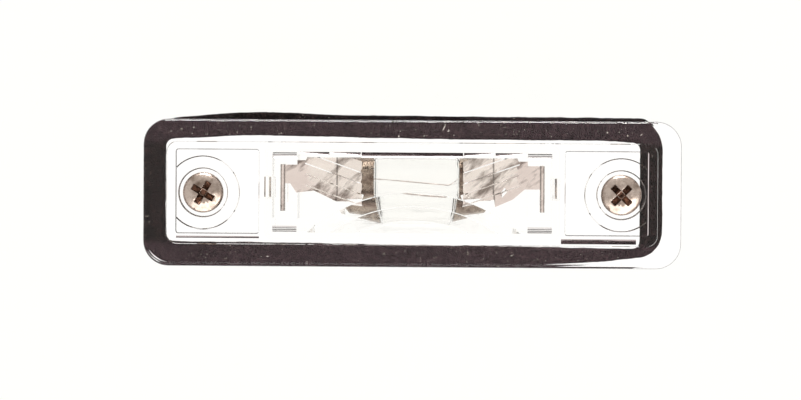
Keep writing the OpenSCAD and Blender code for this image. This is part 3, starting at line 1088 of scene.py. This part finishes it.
@dataclass
class Housing:
    """The lens, the carrier and the two contacts."""

    finishes: Finishes
    sheet_t: float = 0.8
    # Painted shade lies this far inside each sheared edge of the sheet
    edge_in: float = 0.05
    # Places along the lamp where the left and the right wing are creased
    folds: tuple[float, float] = (-15.1, 16.2)

    def creases(self) -> tuple[float, ...]:
        """Finds where the contacts get lines of painted shade: the folds, and both edges of each upright
        strip.

        Returns:
            Places along the lamp in millimetres.
        """
        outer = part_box(Side.RIGHT.node("contact"))[1][0] / MM
        far, near = outer - self.edge_in, outer - self.sheet_t + self.edge_in
        return (-far, -near, *self.folds, near, far)

    def build(self) -> None:
        """Dresses the moulded and stamped pieces."""
        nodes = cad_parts
        dress(nodes["lens"], self.finishes.acrylic.build())
        dress(nodes["bulb_carrier"], self.finishes.carrier.build())
        # The sheet's folds and sheared edges get thin lines of painted shade
        sheet = replace(self.finishes.sheet, creases=self.creases()).build()
        for side in Side:
            dress(nodes[side.node("contact")], sheet)
        log.info("housing: dressed")


@dataclass
class Studio:
    """White floor, soft lamps, a bright world and the camera over the lens."""

    floor_half: float = 1.2
    floor_drop: float = 0.02 * MM
    # A white card lies under the lamp; beyond it the floor is a little darker, in metres from the middle
    card_end: float = 0.07
    floor_from: float = 0.085
    floor_far: float = 0.7
    far_power: float = 1.06
    # How much of the lamp's shadow the camera sees on the floor
    shadow_share: float = 0.04
    distance: float = 0.9
    sensor: float = 36.0
    # Where the lamp's middle lies in the photograph, and how the camera leans and turns, in degrees
    object_px: tuple[float, float] = (411.9, 194.0)
    tilt: tuple[float, float] = (1.2, 1.6)
    roll: float = 0.4
    clip: tuple[float, float] = (0.05, 10)
    # Place, size and power of each soft lamp
    lamps: tuple = (
        ((-0.1, -0.8, 0.6), 1.0, 8.5), ((0.5, -0.35, 0.65), 0.4, 2.5), ((0.0, 0.8, 0.14), 0.4, 11.0),
    )
    lamp_colour: tuple[float, float, float] = (1.0, 0.985, 0.97)
    around_power: float = 0.62
    # Light passes many clear walls before it leaves the lens
    clear_bounces: int = 24
    mirror_bounces: int = 10
    # What the camera sees of floor and surroundings, a very slightly warm white
    white: str = "fffffb"

    def seen_rays(self, tree: bpy.types.NodeTree) -> tuple[bpy.types.NodeSocket, bpy.types.NodeSocket]:
        """Tells the camera's rays from those that a piece mirrors or bends.

        Args:
            tree: The node tree.

        Returns:
            Two factors: 1 for camera rays, and 1 for mirrored or bent rays.
        """
        rays = put(tree, "ShaderNodeLightPath")
        bent = put(
            tree, "ShaderNodeMath", {"operation": "MAXIMUM"},
            in0=rays.outputs["Is Glossy Ray"], in1=rays.outputs["Is Transmission Ray"],
        )
        return rays.outputs["Is Camera Ray"], bent.outputs[0]

    def floor(self) -> None:
        """Lays the white floor under the lamp, a little grey far away to rays that the lens bends."""
        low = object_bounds()[0][2] - self.floor_drop
        deselect()
        bpy.ops.mesh.primitive_plane_add(size=2 * self.floor_half, location=(0, 0, low))
        floor = bpy.context.object
        floor.name = "studio_floor"
        settle(floor)
        mat, tree, out = new_material("white_studio_floor")
        camera, bent = self.seen_rays(tree)
        where = put(tree, "ShaderNodeTexCoord").outputs["Object"]
        away = put(tree, "ShaderNodeVectorMath", {"operation": "LENGTH"}, in0=where)
        stops = [
            (self.card_end, linear("ffffff")), (self.floor_from, linear("d8cccc")),
            (self.floor_far, linear("b5a8a8")),
        ]
        fade = put(tree, "ShaderNodeValToRGB", {"stops": stops}, Fac=away.outputs["Value"]).outputs[0]
        lit = put(tree, "ShaderNodeBsdfDiffuse", Color=linear("ffffff"))
        plain = put(tree, "ShaderNodeEmission", Color=linear(self.white))
        faded = put(tree, "ShaderNodeEmission", Color=fade, Strength=self.far_power)
        seen = put(
            tree, "ShaderNodeMixShader", Fac=self.shadow_share, in1=plain.outputs[0], in2=lit.outputs[0]
        )
        first = put(tree, "ShaderNodeMixShader", Fac=bent, in1=lit.outputs[0], in2=faded.outputs[0])
        last = put(tree, "ShaderNodeMixShader", Fac=camera, in1=first.outputs[0], in2=seen.outputs[0])
        tree.links.new(last.outputs[0], out.inputs["Surface"])
        dress(floor, mat)
        floor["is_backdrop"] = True

    def world(self) -> None:
        """Makes the surroundings white to the camera. To mirrored and bent rays they are dim at the floor's
        height, pale above it and a little greyer straight up, where the camera stands."""
        world = bpy.data.worlds.new("studio_surroundings")
        bpy.context.scene.world = world
        world.use_nodes = True
        tree = world.node_tree
        tree.nodes.clear()
        out = put(tree, "ShaderNodeOutputWorld")
        camera, bent = self.seen_rays(tree)
        where = put(tree, "ShaderNodeTexCoord").outputs["Generated"]
        up = put(tree, "ShaderNodeSeparateXYZ", Vector=where).outputs["Z"]
        stops = [
            (0.0, linear("958787")), (0.2, linear("ddd3d2")), (0.6, linear("faf8f6")),
            (0.93, linear("e6e2df")), (0.985, linear("ddd4d2")),
        ]
        sky = put(tree, "ShaderNodeValToRGB", {"stops": stops}, Fac=up).outputs[0]
        plain = put(tree, "ShaderNodeBackground", Color=linear("ffffff"), Strength=self.around_power)
        around = put(tree, "ShaderNodeBackground", Color=sky, Strength=1.0)
        white = put(tree, "ShaderNodeBackground", Color=linear(self.white), Strength=1.0)
        first = put(tree, "ShaderNodeMixShader", Fac=bent, in1=plain.outputs[0], in2=around.outputs[0])
        last = put(tree, "ShaderNodeMixShader", Fac=camera, in1=first.outputs[0], in2=white.outputs[0])
        tree.links.new(last.outputs[0], out.inputs["Surface"])

    def lights(self) -> None:
        """Hangs the soft lamps, all aimed at the lens."""
        for number, (place, size, power) in enumerate(self.lamps):
            data = bpy.data.lights.new(f"softbox_{number}", "AREA")
            data.size = size
            data.energy = power
            data.color = self.lamp_colour
            lamp = bpy.data.objects.new(f"softbox_{number}", data)
            bpy.context.collection.objects.link(lamp)
            lamp.location = place
            lamp.rotation_euler = (-Vector(place)).to_track_quat("-Z", "Y").to_euler()
            # Only outer faces mirror the lamps, so that the prisms show the seal and the floor
            lamp.visible_transmission = False

    def camera(self) -> None:
        """Sets the camera over the lens, a little above and to the right of it, as in the photograph."""
        data = bpy.data.cameras.new("camera")
        data.sensor_width = self.sensor
        width = PHOTO_W / PX_PER_MM * MM
        data.lens = self.sensor * self.distance / width
        data.clip_start, data.clip_end = self.clip
        cam = bpy.data.objects.new("camera", data)
        bpy.context.collection.objects.link(cam)
        bpy.context.scene.camera = cam
        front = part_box("lens")[1][2]
        right, up = (math.radians(angle) for angle in self.tilt)
        back = Vector((math.sin(right), math.sin(up), 1)).normalized()
        spin = math.radians(self.roll)
        across = Vector((math.cos(spin), math.sin(spin), 0))
        above = Vector((-math.sin(spin), math.cos(spin), 0))
        off_x = (PHOTO_W / 2 - self.object_px[0]) / PX_PER_MM * MM
        off_y = (self.object_px[1] - PHOTO_H / 2) / PX_PER_MM * MM
        place = Vector((0, 0, front)) + across * off_x + above * off_y + back * self.distance
        x_axis = (across - back * across.dot(back)).normalized()
        y_axis = back.cross(x_axis)
        cam.matrix_world = Matrix((
            (x_axis.x, y_axis.x, back.x, place.x),
            (x_axis.y, y_axis.y, back.y, place.y),
            (x_axis.z, y_axis.z, back.z, place.z),
            (0, 0, 0, 1),
        ))

    def build(self) -> None:
        """Makes the whole studio, sets plain colour handling and lets light through many clear walls."""
        scene = bpy.context.scene
        scene.view_settings.view_transform = "Standard"
        scene.cycles.max_bounces = self.clear_bounces
        scene.cycles.transmission_bounces = self.clear_bounces
        scene.cycles.transparent_max_bounces = self.clear_bounces
        scene.cycles.glossy_bounces = self.mirror_bounces
        self.floor()
        self.world()
        self.lights()
        self.camera()
        log.info("studio: built")


def main() -> None:
    """Builds the lamp's looks in order, then the studio."""
    finishes = Finishes()
    Housing(finishes).build()
    Bulb(finishes).build()
    Screws().build(finishes.screw, finishes.recess)
    ring = SealRing().build(finishes.foam)
    surface = max(vert.co.z for vert in ring.data.vertices)
    Dust().build(surface, finishes.lint)
    Studio().build()


if __name__ == "__main__":
    main()
